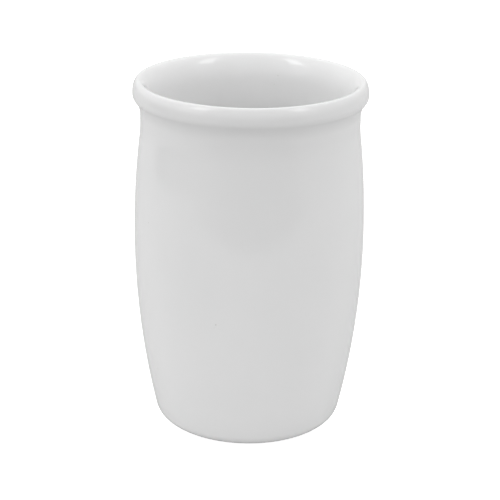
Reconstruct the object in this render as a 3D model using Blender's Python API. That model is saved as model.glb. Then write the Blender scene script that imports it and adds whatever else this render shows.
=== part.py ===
"""Pen holder cup: a turned porcelain body on a bare foot ring, its glaze coat and its base glaze.

The cup stands on the plane z = 0 with its axis on Z, in metres. Its section is one line, the face
of the glaze, which runs from the middle of the inner floor up the inside, over the lip and down
the outside to the foot. The body and the bonded side of the glaze are that same line, set in by
the thickness of the skin.
"""

from math import acos, atan2, cos, hypot, pi, sin, sqrt

import bmesh
import bpy

# Height of the cup and of the levels that shape it. A drop is measured down from the top of the lip.
TOTAL_HEIGHT = 0.1150
BELLY_HEIGHT = 0.0630
SHOULDER_DROP = 0.0162
NECK_TOP_DROP = 0.0110
RIM_WIDEST_DROP = 0.0043

# Radii. The base, neck and rim are stated by how far they stand in or out from the wall they join.
BELLY_RADIUS = 0.0375
BASE_DRAW_IN = 0.0074
NECK_DRAW_IN = 0.0023
RIM_OVERHANG = 0.0024

# Roundings of the section.
HEEL_RADIUS = 0.0048
SHOULDER_FILLET = 0.0400
RIM_CORNER_RADIUS = 0.0030
LIP_OUTER_WIDTH = 0.0018

# The inside.
WALL = 0.0030
FLOOR_TOP = 0.0050
FLOOR_FILLET = 0.0070
FLARE_DEPTH = 0.0090

# The glaze, the bond line that keeps it clear of the body, and the bare foot ring.
GLAZE = 0.0003
BOND_GAP = 0.0003
FOOT_STEP = 0.0007
FOOT_RING_WIDTH = 0.0034
FOOT_RING_SLOPE = 0.0005
RECESS_DEPTH = 0.0014

# How finely the arcs and the turning are cut.
STEPS_AROUND = 48
LONG_ARC_STEPS = 4
BEND_STEPS = 3
FLARE_STEPS = 7
ROUNDING_STEPS = 4
MERGE = 1e-6
SMOOTH_BELOW = 40 * pi / 180

# Colour, roughness and metallic value of each piece.
BISCUIT = ((0.84, 0.83, 0.80), 0.80, 0.0)
COAT = ((0.88, 0.88, 0.88), 0.10, 0.0)
BASE_COAT = ((0.86, 0.86, 0.86), 0.14, 0.0)


def barrel_radius(length, draw_in):
    """Radius of an arc that leaves the belly upright and has come in by draw_in after length."""
    return (length**2 + draw_in**2) / (2 * draw_in)


NECK_RADIUS = BELLY_RADIUS - NECK_DRAW_IN
RIM_RADIUS = NECK_RADIUS + RIM_OVERHANG
CREST_RADIUS = RIM_RADIUS - LIP_OUTER_WIDTH
LOWER_ARC = barrel_radius(BELLY_HEIGHT, BASE_DRAW_IN)
UPPER_ARC = barrel_radius(TOTAL_HEIGHT - SHOULDER_DROP - BELLY_HEIGHT, NECK_DRAW_IN)
SKIN = GLAZE + BOND_GAP


def sweep(centre, width, height, start, end, steps, facing):
    """Points and normals along an elliptical arc. facing is 1 away from its centre and -1 towards it."""
    line = []
    for i in range(steps + 1):
        turn = start + (end - start) * i / steps
        along_r = facing * cos(turn) / width
        along_z = facing * sin(turn) / height
        length = hypot(along_r, along_z)
        point = (centre[0] + width * cos(turn), centre[1] + height * sin(turn))
        line.append((*point, along_r / length, along_z / length))
    return line


def corner_centre(wall, radius, plane):
    """Centre of the rounding that touches both the lower wall, set in by wall, and a level plane."""
    level = plane + radius
    reach = sqrt((LOWER_ARC - wall - radius) ** 2 - (BELLY_HEIGHT - level) ** 2)
    return BELLY_RADIUS - LOWER_ARC + reach, level


def side(wall, corner_radius, plane, corner_start, facing):
    """The barrel from its bottom rounding up to the neck, set in from the outside by wall."""
    lower = (BELLY_RADIUS - LOWER_ARC, BELLY_HEIGHT)
    upper = (BELLY_RADIUS - UPPER_ARC, BELLY_HEIGHT)
    corner = corner_centre(wall, corner_radius, plane)
    corner_end = atan2(corner[1] - lower[1], corner[0] - lower[0])
    hollow_r = NECK_RADIUS + SHOULDER_FILLET
    hollow_rise = sqrt((UPPER_ARC + SHOULDER_FILLET) ** 2 - (hollow_r - upper[0]) ** 2)
    hollow = (hollow_r, BELLY_HEIGHT + hollow_rise)
    lean = atan2(hollow_rise, hollow_r - upper[0])
    lower_r = LOWER_ARC - wall
    upper_r = UPPER_ARC - wall
    fillet_r = SHOULDER_FILLET + wall
    return (
        sweep(corner, corner_radius, corner_radius, corner_start, corner_end, ROUNDING_STEPS, facing)
        + sweep(lower, lower_r, lower_r, corner_end, 0, LONG_ARC_STEPS + 1, facing)
        + sweep(upper, upper_r, upper_r, 0, lean, LONG_ARC_STEPS, facing)
        + sweep(hollow, fillet_r, fillet_r, pi + lean, pi, BEND_STEPS - 1, -facing)
    )


def s_bend(low, high, high_bend, facing):
    """Two tangent arcs from an upright start at low out to an upright end at high."""
    rise = high[1] - low[1]
    lean = 2 * atan2(high[0] - low[0], rise)
    low_bend = rise / sin(lean) - high_bend
    low_centre = (low[0] + low_bend, low[1])
    high_centre = (high[0] - high_bend, high[1])
    low_arc = sweep(low_centre, low_bend, low_bend, pi, pi - lean, BEND_STEPS, -facing)
    return low_arc + sweep(high_centre, high_bend, high_bend, -lean, 0, BEND_STEPS, facing)


def section(depth, foot_edge):
    """The cup's section, depth under the face of the glaze, from the axis to foot_edge on the heel."""
    bore = NECK_RADIUS - WALL
    rim_widest = TOTAL_HEIGHT - RIM_WIDEST_DROP
    neck_top = TOTAL_HEIGHT - NECK_TOP_DROP
    inside = side(WALL, FLOOR_FILLET, FLOOR_TOP, -pi / 2, -1)
    flare_centre = (CREST_RADIUS, TOTAL_HEIGHT - FLARE_DEPTH)
    outer_crest = (CREST_RADIUS, rim_widest)
    lip = sweep(flare_centre, CREST_RADIUS - bore, FLARE_DEPTH, pi, pi / 2, FLARE_STEPS, 1)
    lip += sweep(outer_crest, LIP_OUTER_WIDTH, RIM_WIDEST_DROP, pi / 2, 0, ROUNDING_STEPS, 1)
    heel_start = -acos((foot_edge - corner_centre(0, HEEL_RADIUS, 0)[0]) / (HEEL_RADIUS - depth))
    outside = side(0, HEEL_RADIUS, 0, heel_start, 1)
    outside += s_bend((NECK_RADIUS, neck_top), (RIM_RADIUS, rim_widest), RIM_CORNER_RADIUS, 1)
    line = [(0, FLOOR_TOP, 0, 1)] + inside + lip + outside[::-1]
    points = [(r - depth * along_r, z - depth * along_z) for r, z, along_r, along_z in line]
    return [b for a, b in zip([(-1, 0)] + points, points) if hypot(b[0] - a[0], b[1] - a[1]) > MERGE]


def material(name, colour, roughness, metallic):
    made = bpy.data.materials.new(name)
    made.use_nodes = True
    shader = made.node_tree.nodes["Principled BSDF"]
    shader.inputs["Base Color"].default_value = (*colour, 1)
    shader.inputs["Roughness"].default_value = roughness
    shader.inputs["Metallic"].default_value = metallic
    return made


def turned(name, profile, finish, parent):
    """A solid of revolution about Z from a profile that starts and ends on the axis."""
    bm = bmesh.new()
    verts = [bm.verts.new((r, 0, z)) for r, z in profile]
    edges = [bm.edges.new(pair) for pair in zip(verts, verts[1:])]
    bmesh.ops.spin(
        bm,
        geom=verts + edges,
        cent=(0, 0, 0),
        axis=(0, 0, 1),
        angle=2 * pi,
        steps=STEPS_AROUND,
        use_merge=True,
    )
    bmesh.ops.remove_doubles(bm, verts=bm.verts, dist=MERGE)
    bmesh.ops.recalc_face_normals(bm, faces=bm.faces)
    mesh = bpy.data.meshes.new(name)
    bm.to_mesh(mesh)
    bm.free()
    mesh.shade_smooth()
    mesh.set_sharp_from_angle(angle=SMOOTH_BELOW)
    mesh.materials.append(material(name, *finish))
    made = bpy.data.objects.new(name, mesh)
    made.parent = parent
    bpy.context.scene.collection.objects.link(made)


def cup():
    """The three pieces, from the body outwards."""
    stand = bpy.data.objects.new("pen_cup", None)
    bpy.context.scene.collection.objects.link(stand)

    # The bare ring stands a step outside the lowest point of the heel, and the glaze stops short of it.
    ring_outer = corner_centre(0, HEEL_RADIUS, 0)[0] + FOOT_STEP
    ring_inner = ring_outer - FOOT_RING_WIDTH
    recess_radius = ring_inner - FOOT_RING_SLOPE
    recess_ceiling = RECESS_DEPTH + SKIN
    foot = [(ring_outer, 0), (ring_inner, 0), (recess_radius, recess_ceiling), (0, recess_ceiling)]
    turned("cup_body", section(SKIN, ring_outer) + foot, BISCUIT, stand)

    glaze_edge = ring_outer + BOND_GAP
    coat = section(0, glaze_edge) + section(GLAZE, glaze_edge)[::-1]
    turned("glaze_coat", coat, COAT, stand)

    disc_radius = recess_radius - BOND_GAP
    disc_top = RECESS_DEPTH + GLAZE
    disc = [(0, disc_top), (disc_radius, disc_top), (disc_radius, RECESS_DEPTH), (0, RECESS_DEPTH)]
    turned("base_glaze", disc, BASE_COAT, stand)


for old in list(bpy.data.objects):
    bpy.data.objects.remove(old)
cup()
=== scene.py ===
from math import pi, radians

import bmesh
import bpy
from mathutils import Matrix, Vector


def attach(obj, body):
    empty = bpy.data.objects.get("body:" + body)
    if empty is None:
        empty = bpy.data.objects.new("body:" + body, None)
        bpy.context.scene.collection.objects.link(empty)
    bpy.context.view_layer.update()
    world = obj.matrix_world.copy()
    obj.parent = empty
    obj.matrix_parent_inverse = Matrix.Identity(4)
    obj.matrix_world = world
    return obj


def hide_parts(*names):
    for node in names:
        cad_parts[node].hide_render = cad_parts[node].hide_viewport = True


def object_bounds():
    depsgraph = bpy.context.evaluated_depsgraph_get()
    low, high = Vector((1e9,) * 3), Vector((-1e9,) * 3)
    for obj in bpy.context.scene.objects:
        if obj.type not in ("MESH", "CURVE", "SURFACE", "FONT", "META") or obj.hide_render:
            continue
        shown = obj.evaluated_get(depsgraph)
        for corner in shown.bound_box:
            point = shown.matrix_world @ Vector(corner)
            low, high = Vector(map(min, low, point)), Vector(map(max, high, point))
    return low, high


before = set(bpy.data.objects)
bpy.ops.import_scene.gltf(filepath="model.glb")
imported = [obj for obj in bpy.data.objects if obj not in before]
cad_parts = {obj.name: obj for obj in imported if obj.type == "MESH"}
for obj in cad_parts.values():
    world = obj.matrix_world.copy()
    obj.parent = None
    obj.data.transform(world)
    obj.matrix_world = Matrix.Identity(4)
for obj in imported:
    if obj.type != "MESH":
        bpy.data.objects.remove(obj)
cad_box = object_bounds()


# ---- Cup body -------------------------------------------------------------------------------
# The porcelain body, cast and turned to a barrel with a rolled rim, then fired. Glaze hides all
# of it but the ring that it stands on, which is wiped clean so that it doesn't stick to the kiln
# shelf: dry, finely grained off-white, scuffed grey where it meets a desk.


class Size:
    """A number inside a node tree, so that one size can be worked out from others."""

    def __init__(self, tree, socket):
        self.tree = tree
        self.socket = socket

    def worked(self, operation, *others):
        node = self.tree.nodes.new("ShaderNodeMath")
        node.operation = operation
        for slot, value in zip(node.inputs, (self, *others)):
            feed(self.tree, value, slot)
        return Size(self.tree, node.outputs[0])

    def __add__(self, other):
        return self.worked("ADD", other)

    def __sub__(self, other):
        return self.worked("SUBTRACT", other)

    def __mul__(self, other):
        return self.worked("MULTIPLY", other)

    def __truediv__(self, other):
        return self.worked("DIVIDE", other)

    def __rsub__(self, other):
        return self * -1 + other

    def __rtruediv__(self, other):
        return self.worked("POWER", -1) * other

    __radd__ = __add__
    __rmul__ = __mul__


def feed(tree, value, slot):
    """Gives a node's input a number, a Size, a socket, or up to three of them as a vector."""
    if isinstance(value, Size):
        tree.links.new(value.socket, slot)
    elif isinstance(value, bpy.types.NodeSocket):
        tree.links.new(value, slot)
    elif isinstance(value, tuple) and any(isinstance(part, Size) for part in value):
        node = tree.nodes.new("ShaderNodeCombineXYZ")
        for part, to in zip(value, node.inputs):
            feed(tree, part, to)
        tree.links.new(node.outputs[0], slot)
    else:
        slot.default_value = value


def step(tree, kind, settings=None, **values):
    """A node with its settings, its inputs given by name with _ for a space; its first output."""
    node = tree.nodes.new(kind)
    for name, value in (settings or {}).items():
        setattr(node, name, value)
    for name, value in values.items():
        feed(tree, value, node.inputs[name.replace("_", " ")])
    return node.outputs[0]


def parts(tree, vector):
    """The X, Y and Z of a vector, as Sizes."""
    node = tree.nodes.new("ShaderNodeSeparateXYZ")
    tree.links.new(vector, node.inputs[0])
    return [Size(tree, out) for out in node.outputs]


def arc(tree, centre, width, height, start, end, cuts):
    """An arc of an ellipse on the section's plane, from one angle to another."""
    curve = step(
        tree,
        "GeometryNodeCurveArc",
        {"mode": "RADIUS"},
        Resolution=cuts + 1,
        Radius=1,
        Start_Angle=start,
        Sweep_Angle=end - start,
    )
    scale = (width, height, 1)
    place = (*centre, 0)
    return step(tree, "GeometryNodeTransform", Geometry=curve, Translation=place, Scale=scale)


def line(tree, start, end, cuts=1):
    """A straight line on the section's plane, cut into equal steps."""
    curve = step(tree, "GeometryNodeCurvePrimitiveLine", Start=(*start, 0), End=(*end, 0))
    return step(tree, "GeometryNodeResampleCurve", Curve=curve, Count=cuts + 1)


def one_line(tree, strokes):
    """Strokes that meet end to end, as a single curve."""
    join = tree.nodes.new("GeometryNodeJoinGeometry")
    for stroke in strokes:
        tree.links.new(step(tree, "GeometryNodeCurveToMesh", Curve=stroke), join.inputs[0])
    edges = step(tree, "GeometryNodeMergeByDistance", Geometry=join.outputs[0], Distance=MEET)
    return step(tree, "GeometryNodeMeshToCurve", Mesh=edges)


def barrel(length, draw_in):
    """Radius of an arc that leaves the belly upright and has come in by draw_in after length."""
    return (length * length + draw_in * draw_in) / (2 * draw_in)


def bottom_corner(size, wall, radius, plane):
    """Centre of the rounding that touches the lower wall, set in by wall, and a level plane."""
    lower = barrel(size["Belly height"], size["Base draw-in"])
    level = plane + radius
    reach = lower - wall - radius
    drop = size["Belly height"] - level
    return size["Belly radius"] - lower + (reach * reach - drop * drop).worked("SQRT"), level


def side(tree, size, wall, radius, plane, start, top):
    """The barrel from its bottom rounding up to the level top on its neck, set in by wall."""
    belly, height = size["Belly radius"], size["Belly height"]
    neck = belly - size["Neck draw-in"]
    shoulder = size["Height"] - size["Shoulder drop"] - height
    lower = barrel(height, size["Base draw-in"])
    upper = barrel(shoulder, size["Neck draw-in"])
    fillet = size["Shoulder fillet"]
    corner = bottom_corner(size, wall, radius, plane)
    low_turn = (corner[1] - height).worked("ARCTAN2", corner[0] - belly + lower)
    run = neck + fillet - belly + upper
    rise = ((upper + fillet) * (upper + fillet) - run * run).worked("SQRT")
    lean = rise.worked("ARCTAN2", run)
    low_r, high_r, hollow_r = lower - wall, upper - wall, fillet + wall
    return [
        arc(tree, corner, radius, radius, start, low_turn, ROUND_CUTS),
        arc(tree, (belly - lower, height), low_r, low_r, low_turn, 0, LONG_CUTS),
        arc(tree, (belly - upper, height), high_r, high_r, 0, lean, LONG_CUTS),
        arc(tree, (neck + fillet, height + rise), hollow_r, hollow_r, lean + pi, pi, ROUND_CUTS),
        line(tree, (neck - wall, height + rise), (neck - wall, top)),
    ]


def s_bend(tree, low, high, high_bend):
    """Two tangent arcs from an upright start at low out to an upright end at high."""
    rise = high[1] - low[1]
    lean = 2 * (high[0] - low[0]).worked("ARCTAN2", rise)
    low_bend = rise / lean.worked("SINE") - high_bend
    low_centre = (low[0] + low_bend, low[1])
    high_centre = (high[0] - high_bend, high[1])
    return [
        arc(tree, low_centre, low_bend, low_bend, pi, pi - lean, ROUND_CUTS),
        arc(tree, high_centre, high_bend, high_bend, -1 * lean, 0, ROUND_CUTS),
    ]


def cup_line(tree, size, foot_edge, depth):
    """The cup's section from the axis to foot_edge on the heel, depth under the glaze's face."""
    height = size["Height"]
    neck = size["Belly radius"] - size["Neck draw-in"]
    rim = neck + size["Rim overhang"]
    outer_lip = size["Lip outer width"]
    crest = rim - outer_lip
    flare = (crest - neck + size["Wall"], size["Flare depth"])
    bore_top = height - flare[1]
    widest = (rim, height - size["Rim widest drop"])
    neck_top = (neck, height - size["Neck top drop"])
    fillet, floor_top = size["Floor fillet"], size["Floor top"]
    floor_edge = bottom_corner(size, size["Wall"], fillet, floor_top)[0]
    heel = bottom_corner(size, 0, size["Heel radius"], 0)[0]
    heel_turn = ((foot_edge - heel) / (size["Heel radius"] - depth)).worked("ARCCOSINE")
    face = one_line(
        tree,
        [
            line(tree, (0, floor_top), (floor_edge, floor_top), ROUND_CUTS),
            *side(tree, size, size["Wall"], fillet, floor_top, -pi / 2, bore_top),
            arc(tree, (crest, bore_top), *flare, pi, pi / 2, LONG_CUTS),
            arc(tree, (crest, widest[1]), outer_lip, height - widest[1], pi / 2, 0, LIP_CUTS),
            *s_bend(tree, neck_top, widest, size["Rim corner"]),
            *side(tree, size, 0, size["Heel radius"], 0, -1 * heel_turn, neck_top[1]),
        ],
    )
    face = step(tree, "GeometryNodeReverseCurve", Curve=face)
    along_r, along_z, _ = parts(tree, step(tree, "GeometryNodeInputTangent"))
    inward = (along_z * depth, along_r * -1 * depth, 0)
    return step(tree, "GeometryNodeSetPosition", Geometry=face, Offset=inward)


def sampled(tree, curve, kind, index):
    """What a curve has at one of its points: its position or its tangent there."""
    wanted = step(tree, kind)
    settings = {"data_type": "FLOAT_VECTOR", "domain": "POINT"}
    return parts(
        tree,
        step(tree, "GeometryNodeSampleIndex", settings, Geometry=curve, Value=wanted, Index=index),
    )


def point_count(tree, curve):
    """How many points a curve has."""
    settings = {"component": "CURVE"}
    return Size(tree, step(tree, "GeometryNodeAttributeDomainSize", settings, Geometry=curve))


def turned(tree, size, section):
    """The surface that a section makes in one turn of the wheel, its seam and poles closed, a
    little uneven in its radius as all turned ware is."""
    last_row = point_count(tree, section) - 1
    across, up, _ = parts(tree, step(tree, "GeometryNodeInputPosition"))
    turn = (across + 0.5) * (2 * pi)
    row = ((up + 0.5) * last_row).worked("ROUND")
    radius, level, _ = sampled(tree, section, "GeometryNodeInputPosition", row)
    sheet = step(
        tree,
        "GeometryNodeMeshGrid",
        Size_X=1,
        Size_Y=1,
        Vertices_X=size["Turn steps"] + 1,
        Vertices_Y=last_row + 1,
    )
    place = (radius * turn.worked("COSINE"), radius * turn.worked("SINE"), level)
    shell = step(tree, "GeometryNodeSetPosition", Geometry=sheet, Position=place)
    shell = step(tree, "GeometryNodeMergeByDistance", Geometry=shell, Distance=MEET)
    here = step(tree, "GeometryNodeInputPosition")
    x, y, z = parts(tree, here)
    uneven = step(
        tree,
        "ShaderNodeTexNoise",
        {"noise_dimensions": "4D"},
        Vector=here,
        W=size["Seed"],
        Scale=1 / size["Unevenness spread"],
        Detail=1,
    )
    draw = 1 - Size(tree, uneven) * size["Unevenness"] / size["Belly radius"]
    return step(tree, "GeometryNodeSetPosition", Geometry=shell, Position=(x * draw, y * draw, z))


def turned_piece(name, draw_section, sizes, finish):
    """A piece turned from the section that draw_section draws, as a plain mesh."""
    tree = bpy.data.node_groups.new(name, "GeometryNodeTree")
    tree.interface.new_socket("Mesh", in_out="OUTPUT", socket_type="NodeSocketGeometry")
    sockets = {
        size: tree.interface.new_socket(
            size,
            in_out="INPUT",
            socket_type="NodeSocketInt" if isinstance(value, int) else "NodeSocketFloat",
        )
        for size, value in sizes.items()
    }
    source = tree.nodes.new("NodeGroupInput")
    named = {size: Size(tree, source.outputs[size]) for size in sizes}
    mesh = turned(tree, named, draw_section(tree, named))
    mesh = step(tree, "GeometryNodeSetShadeSmooth", Geometry=mesh)
    mesh = step(tree, "GeometryNodeRealizeInstances", Geometry=mesh)
    mesh = step(tree, "GeometryNodeSetMaterial", Geometry=mesh, Material=finish)
    tree.links.new(mesh, tree.nodes.new("NodeGroupOutput").inputs["Mesh"])

    piece = bpy.data.objects.new(name, bpy.data.meshes.new(name))
    bpy.context.scene.collection.objects.link(piece)
    wheel = piece.modifiers.new("wheel", "NODES")
    wheel.node_group = tree
    for size, socket in sockets.items():
        wheel[socket.identifier] = sizes[size]
    graph = bpy.context.evaluated_depsgraph_get()
    shape = bpy.data.meshes.new_from_object(piece.evaluated_get(graph))
    piece.modifiers.remove(wheel)
    piece.data = shape
    shape.name = name
    bm = bmesh.new()
    bm.from_mesh(shape)
    bmesh.ops.remove_doubles(bm, verts=bm.verts, dist=MEET)
    bmesh.ops.recalc_face_normals(bm, faces=bm.faces)
    for face in bm.faces:
        face.material_index = 0
    bm.to_mesh(shape)
    bm.free()
    shape.materials.clear()
    shape.materials.append(finish)
    return piece


def body_section(tree, size):
    """The cup's section under the glaze, then its bare ring and the recess inside the ring."""
    ring = bottom_corner(size, 0, size["Heel radius"], 0)[0] + size["Foot step"]
    inner = ring - size["Foot ring width"]
    recess = (inner - size["Recess slope"], size["Recess depth"])
    edge = size["Foot edge rounding"]
    body = cup_line(tree, size, ring, size["Skin"])
    heel = sampled(tree, body, "GeometryNodeInputPosition", point_count(tree, body) - 1)
    return one_line(
        tree,
        [
            body,
            line(tree, heel[:2], (ring, edge)),
            arc(tree, (ring - edge, edge), edge, edge, 0, -pi / 2, LIP_CUTS),
            line(tree, (ring - edge, 0), (inner + edge, 0), ROUND_CUTS),
            arc(tree, (inner + edge, edge), edge, edge, -pi / 2, -pi, LIP_CUTS),
            line(tree, (inner, edge), recess),
            line(tree, recess, (0, recess[1]), ROUND_CUTS),
        ],
    )


def grain(tree, spread, detail=2.0, offset=0.0):
    """A fine mottle over a surface, from 0 to 1, with patches about spread metres across."""
    place = tree.nodes.new("ShaderNodeTexCoord").outputs["Object"]
    mottle = step(
        tree,
        "ShaderNodeTexNoise",
        {"noise_dimensions": "4D"},
        Vector=place,
        W=offset,
        Scale=1 / spread,
        Detail=detail,
    )
    return Size(tree, mottle)


def ramp(tree, value, low, high, out_low=0.0, out_high=1.0):
    """A value read from low to high and given out from out_low to out_high."""
    node = tree.nodes.new("ShaderNodeMapRange")
    for slot, given in zip(node.inputs, (value, low, high, out_low, out_high)):
        feed(tree, given, slot)
    return Size(tree, node.outputs[0])


def mixed(tree, share, first, second):
    """One colour turning into another by a share from 0 to 1."""
    node = tree.nodes.new("ShaderNodeMix")
    node.data_type = "RGBA"
    feed(tree, share, node.inputs["Factor"])
    for slot, colour in (("A", first), ("B", second)):
        socket = next(s for s in node.inputs if s.name == slot and s.type == "RGBA")
        if isinstance(colour, bpy.types.NodeSocket):
            tree.links.new(colour, socket)
        else:
            socket.default_value = (*colour, 1)
    return next(s for s in node.outputs if s.type == "RGBA")


def bumped(tree, height, distance, under=None):
    """A surface normal raised by height times distance, over another normal."""
    node = tree.nodes.new("ShaderNodeBump")
    feed(tree, height, node.inputs["Height"])
    node.inputs["Distance"].default_value = distance
    if under is not None:
        tree.links.new(under, node.inputs["Normal"])
    return node.outputs[0]


def new_finish(name):
    """A material with nodes, its node tree, and the shader in it."""
    finish = bpy.data.materials.new(name)
    finish.use_nodes = True
    return finish, finish.node_tree, finish.node_tree.nodes["Principled BSDF"]


MEET = 2e-6
LONG_CUTS = 18
ROUND_CUTS = 8
LIP_CUTS = 12
SKIN = 0.0006
# The solid cup's own sizes, in metres; its height comes from the solids themselves.
CUP_SIZES = {
    "Height": cad_box[1].z,
    "Belly height": 0.0630,
    "Belly radius": 0.0375,
    "Base draw-in": 0.0074,
    "Neck draw-in": 0.0023,
    "Shoulder drop": 0.0162,
    "Shoulder fillet": 0.0400,
    "Neck top drop": 0.0110,
    "Rim widest drop": 0.0043,
    "Rim overhang": 0.0024,
    "Rim corner": 0.0030,
    "Lip outer width": 0.0018,
    "Flare depth": 0.0090,
    "Wall": 0.0030,
    "Floor top": 0.0050,
    "Floor fillet": 0.0070,
    "Heel radius": 0.0048,
    "Foot step": 0.0007,
    "Turn steps": 192,
    "Unevenness": 0.00003,
    "Unevenness spread": 0.0160,
    "Seed": 4.0,
}
BODY_SIZES = {
    **CUP_SIZES,
    "Skin": SKIN,
    "Foot ring width": 0.0034,
    "Foot edge rounding": 0.0003,
    "Recess slope": 0.0005,
    "Recess depth": 0.0020,
}
DULL_WARE = (0.80, 0.785, 0.75)
PALE_WARE = (0.86, 0.85, 0.82)
# Painted shade: the small pores of the bare ring are coloured darker for the shade that falls in
# them.
PORE_PAINTED_SHADE = (0.62, 0.60, 0.56)
SCUFF_SHADE = (0.60, 0.59, 0.57)
WARE_ROUGHNESS = (0.72, 0.92)
GRAIN_DEPTH = 0.00012

biscuit, tree, shader = new_finish("bare_porcelain")
fine = grain(tree, spread=0.00025, detail=3.0)
pores = ramp(tree, grain(tree, spread=0.0005, detail=1.0, offset=3.0), low=0.30, high=0.36)
worn = grain(tree, spread=0.0030, detail=4.0, offset=7.0)
scuff = ramp(tree, worn, low=0.50, high=0.68, out_high=0.45)
ware = mixed(tree, fine, DULL_WARE, PALE_WARE)
# Painted shade in the pores, the same spots that the bump below sinks in.
ware = mixed(tree, pores, PORE_PAINTED_SHADE, ware)
feed(tree, mixed(tree, scuff, ware, SCUFF_SHADE), shader.inputs["Base Color"])
feed(tree, ramp(tree, fine, 0, 1, *WARE_ROUGHNESS), shader.inputs["Roughness"])
feed(tree, bumped(tree, fine * 0.6 + pores * 0.4, GRAIN_DEPTH), shader.inputs["Normal"])
shader.inputs["IOR"].default_value = 1.45

cup_body = turned_piece("porcelain_body", body_section, BODY_SIZES, biscuit)
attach(cup_body, "root")
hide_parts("cup_body")


# ---- Glaze coat -----------------------------------------------------------------------------
# White porcelain glaze, dipped over the inside, the lip and the outside, and wiped back to the
# foot ring. It melts to a skin of glass: glossy, very slightly rippled, with a soft bead where it
# ends at the heel and a stray pinhole here and there, painted darker for the shade in its pit.


def skinned(tree, face, thickness, bead_cuts):
    """Out along a line, round a bead at its end, and back again thickness under it."""
    last = point_count(tree, face) - 1
    row = Size(tree, step(tree, "GeometryNodeInputIndex"))
    back = 2 * last + (bead_cuts + 1) - row
    point = row.worked("MINIMUM", last).worked("MINIMUM", back)
    swing = ((row - last) / (bead_cuts + 1)).worked("MAXIMUM", 0).worked("MINIMUM", 1) * pi
    r, z, _ = sampled(tree, face, "GeometryNodeInputPosition", point)
    along_r, along_z, _ = sampled(tree, face, "GeometryNodeInputTangent", point)
    under = (1 - swing.worked("COSINE")) * thickness / 2
    onward = swing.worked("SINE") * thickness / 2
    place = (r + along_z * under + along_r * onward, z - along_r * under + along_z * onward, 0)
    points = step(tree, "GeometryNodeMeshLine", Count=2 * last + (bead_cuts + 2))
    points = step(tree, "GeometryNodeSetPosition", Geometry=points, Position=place)
    return step(tree, "GeometryNodeMeshToCurve", Mesh=points)


def coat_section(tree, size):
    """The face of the cup from the middle of its floor to the foot, given the glaze's thickness."""
    heel = bottom_corner(size, 0, size["Heel radius"], 0)[0]
    edge = heel + size["Foot step"] + size["Foot clearance"]
    return skinned(tree, cup_line(tree, size, edge, 0), size["Glaze"], LIP_CUTS)


# Painted shade: the colour given to each pinhole for the shade inside its pit.
PINHOLE_PAINTED_SHADE = (0.74, 0.735, 0.72)
PINHOLE_DEPTH = 0.00002
RIPPLE_DEPTH = 0.000012
PEEL_DEPTH = 0.0000015
BOND = 0.00005


def glaze_finish(name, tint, thick_tint, roughness):
    """White glaze: tint where it is thin, thick_tint where it pools, glassy and faintly rippled."""
    finish, tree, shader = new_finish(name)
    cloud = ramp(tree, grain(tree, spread=0.0200, detail=2.0, offset=2.0), low=0.35, high=0.70)
    specks = grain(tree, spread=0.0012, detail=0.0, offset=11.0)
    pinholes = ramp(tree, specks, low=0.10, high=0.13)
    # Pinholes get a painted shade, on the same mask as their bump.
    colour = mixed(tree, pinholes, PINHOLE_PAINTED_SHADE, mixed(tree, cloud, tint, thick_tint))
    feed(tree, colour, shader.inputs["Base Color"])
    handled = grain(tree, spread=0.0060, detail=3.0, offset=5.0)
    sheen = ramp(tree, handled, low=0.3, high=0.7, out_low=roughness, out_high=roughness + 0.04)
    feed(tree, sheen, shader.inputs["Roughness"])
    ripple = bumped(tree, grain(tree, spread=0.0060, detail=1.0, offset=8.0), RIPPLE_DEPTH)
    peel = bumped(tree, grain(tree, spread=0.0009, detail=2.0, offset=9.0), PEEL_DEPTH, ripple)
    feed(tree, bumped(tree, pinholes, PINHOLE_DEPTH, peel), shader.inputs["Normal"])
    shader.inputs["IOR"].default_value = 1.58
    return finish


coat_glaze = glaze_finish("white_glaze", (0.925, 0.925, 0.925), (0.912, 0.914, 0.914), 0.02)
COAT_SIZES = {**CUP_SIZES, "Glaze": SKIN - BOND, "Foot clearance": 0.0003}
glaze_coat = turned_piece("glaze_skin", coat_section, COAT_SIZES, coat_glaze)
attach(glaze_coat, "root")
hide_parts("glaze_coat")


# ---- Base glaze -----------------------------------------------------------------------------
# The same glaze inside the foot ring, brushed over the underside and drawn up into the corner
# by its own surface tension, so that it meets the ring in a small hollow curve.


def disc_section(tree, size):
    """A flat disc under the recess, its rim drawn down into the corner in a small hollow curve."""
    ring = bottom_corner(size, 0, size["Heel radius"], 0)[0] + size["Foot step"]
    ceiling, curve = size["Recess depth"], size["Corner pool"]
    slope = size["Recess slope"] / ceiling
    edge = ring - size["Foot ring width"] - size["Clearance"] - slope * ceiling
    top = ceiling - size["Clearance"]
    face = top - size["Glaze"]
    low = face - curve
    low_edge = edge + slope * (ceiling - low)
    return one_line(
        tree,
        [
            line(tree, (0, top), (edge, top), ROUND_CUTS),
            line(tree, (edge, top), (low_edge, low)),
            arc(tree, (low_edge - curve, low), curve, curve, 0, pi / 2, ROUND_CUTS),
            line(tree, (low_edge - curve, face), (0, face), ROUND_CUTS),
        ],
    )


DISC_SIZES = {
    **{name: BODY_SIZES[name] for name in BODY_SIZES if name != "Skin"},
    "Glaze": SKIN - BOND,
    "Clearance": BOND,
    "Corner pool": 0.0006,
}
disc_glaze = glaze_finish("foot_glaze", (0.915, 0.916, 0.916), (0.895, 0.90, 0.90), 0.08)
base_glaze = turned_piece("base_glaze_disc", disc_section, DISC_SIZES, disc_glaze)
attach(base_glaze, "root")
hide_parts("base_glaze")


# ---- Table ----------------------------------------------------------------------------------
# A plain pale table top, lit a little from underneath. Its front and left edges are near enough to
# show in the glaze: the front one is the lower edge of a shield-shaped reflection.

TABLE_REACH = 1.50
TABLE_FRONT = 0.250
TABLE_LEFT = 0.450
TABLE_WHITE = (0.60, 0.60, 0.60)
TABLE_PALE = (0.62, 0.62, 0.62)
TABLE_GLOW = 0.04
# How much brighter the table looks to the camera than it is to the cup, so that it shows clean white.
TABLE_CLEAN = 0.80

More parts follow.
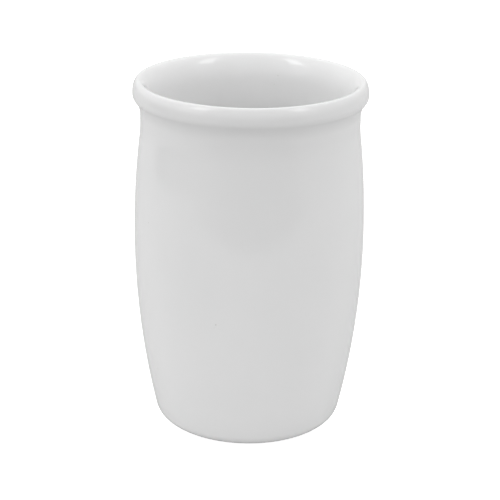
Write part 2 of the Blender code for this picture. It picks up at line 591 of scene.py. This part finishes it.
bm = bmesh.new()
for x in (-TABLE_LEFT, TABLE_REACH):
    for y in (-TABLE_FRONT, TABLE_REACH):
        bm.verts.new((x, y, 0))
bmesh.ops.contextual_create(bm, geom=bm.verts)
table_mesh = bpy.data.meshes.new("table")
bm.to_mesh(table_mesh)
bm.free()
table = bpy.data.objects.new("table", table_mesh)
bpy.context.scene.collection.objects.link(table)
table_finish, tree, shader = new_finish("table_top")
mottle = grain(tree, spread=0.0200, detail=4.0)
feed(tree, mixed(tree, mottle, TABLE_WHITE, TABLE_PALE), shader.inputs["Base Color"])
shader.inputs["Roughness"].default_value = 0.9
shader.inputs["Specular IOR Level"].default_value = 0.0
shader.inputs["Emission Color"].default_value = (1, 1, 1, 1)
seen = tree.nodes.new("ShaderNodeLightPath").outputs["Is Camera Ray"]
feed(tree, Size(tree, seen) * TABLE_CLEAN + TABLE_GLOW, shader.inputs["Emission Strength"])
table_mesh.materials.append(table_finish)


# ---- Light ----------------------------------------------------------------------------------
# A plain soft white studio: a lit ceiling and canopy, a softbox high on each side of the front,
# pale walls all round, and a dim room beyond the front and left edges of the table.

# For each light: its left and right azimuth and how softly those two edges fade, the same for its
# lowest and highest elevation, all in degrees, and its brightness. Azimuth is 0 in front and 90 on
# the right, and a limit of 400 is out of reach, so that side has no edge.
STUDIO = {
    "ceiling": ((-400, 400, 1, 1), (68, 400, 10, 1), 0.8),
    "front canopy": ((-60, 60, 50, 50), (35, 68, 20, 10), 0.5),
    "right canopy": ((60, 150, 50, 50), (35, 68, 20, 10), 1.0),
    "back canopy": ((150, 210, 50, 50), (35, 68, 20, 10), 1.3),
    "left canopy": ((210, 300, 50, 50), (35, 68, 20, 10), 1.0),
    "left softbox": ((-64, -46, 5, 5), (26, 52, 5, 5), 2.8),
    "right softbox": ((46, 64, 5, 5), (26, 52, 5, 5), 2.8),
    "left strip": ((-72, -46, 3, 3), (4, 32, 3, 3), 0.5),
    "right strip": ((46, 68, 3, 3), (4, 32, 3, 3), 0.2),
    "front wall": ((-46, 46, 3, 3), (3, 35, 4, 20), 0.8),
    "right wall": ((46, 135, 3, 30), (3, 35, 4, 20), 0.85),
    "back wall": ((135, 225, 30, 30), (3, 35, 4, 20), 0.8),
    "left wall": ((225, 314, 30, 3), (3, 35, 4, 20), 1.05),
    "dim room": ((-400, 400, 1, 1), (-400, 3, 1, 4), 0.1),
    "left floor": ((-92, -32, 4, 12), (-400, 3, 1, 4), 0.2),
    "right floor": ((50, 120, 3, 12), (-400, 3, 1, 4), 0.4),
    "back floor": ((120, 250, 12, 12), (-400, 3, 1, 4), 0.5),
}
BACKDROP = 1.2

world = bpy.data.worlds.new("studio")
bpy.context.scene.world = world
world.use_nodes = True
sky = world.node_tree


def window(tree, value, low, high, low_fade, high_fade):
    """1 between low and high, fading over each edge to 0."""
    rise = (value - low) / low_fade + 0.5
    fall = (high - value) / high_fade + 0.5
    return rise.worked("MINIMUM", fall).worked("MINIMUM", 1).worked("MAXIMUM", 0)


x, y, z = parts(sky, sky.nodes.new("ShaderNodeTexCoord").outputs["Generated"])
bearing = x.worked("ARCTAN2", -1 * y) * (180 / pi)
elevation = z.worked("ARCSINE") * (180 / pi)
glow = 0
for (left, right, left_fade, right_fade), (low, high, low_fade, high_fade), level in STUDIO.values():
    half = (right - left) / 2
    off = (bearing - (left + right) / 2).worked("WRAP", 180, -180)
    across = window(sky, off, -half, half, left_fade, right_fade)
    glow = across * window(sky, elevation, low, high, low_fade, high_fade) * level + glow
seen = Size(sky, sky.nodes.new("ShaderNodeLightPath").outputs["Is Camera Ray"])
feed(sky, glow * (1 - seen) + seen * BACKDROP, sky.nodes["Background"].inputs["Strength"])
sky.nodes["Background"].inputs["Color"].default_value = (1, 1, 1, 1)


# ---- Camera ---------------------------------------------------------------------------------
# It stands half a metre in front of the cup and looks down at it through a long lens, level but
# for a very slight roll.

CAMERA_PLACE = (0.00037, -0.4830, 0.2373)
CAMERA_PITCH = radians(20.47)
CAMERA_ROLL = radians(0.689)
CAMERA_LENS = 112.67

camera_data = bpy.data.cameras.new("camera")
camera_data.sensor_width = 36
camera_data.lens = CAMERA_LENS
camera = bpy.data.objects.new("camera", camera_data)
bpy.context.scene.collection.objects.link(camera)
camera.matrix_world = (
    Matrix.Translation(CAMERA_PLACE)
    @ Matrix.Rotation(pi / 2 - CAMERA_PITCH, 4, "X")
    @ Matrix.Rotation(CAMERA_ROLL, 4, "Z")
)
camera_data.clip_start = 0.01
camera_data.clip_end = 20
bpy.context.scene.camera = camera
bpy.context.scene.view_settings.view_transform = "Standard"
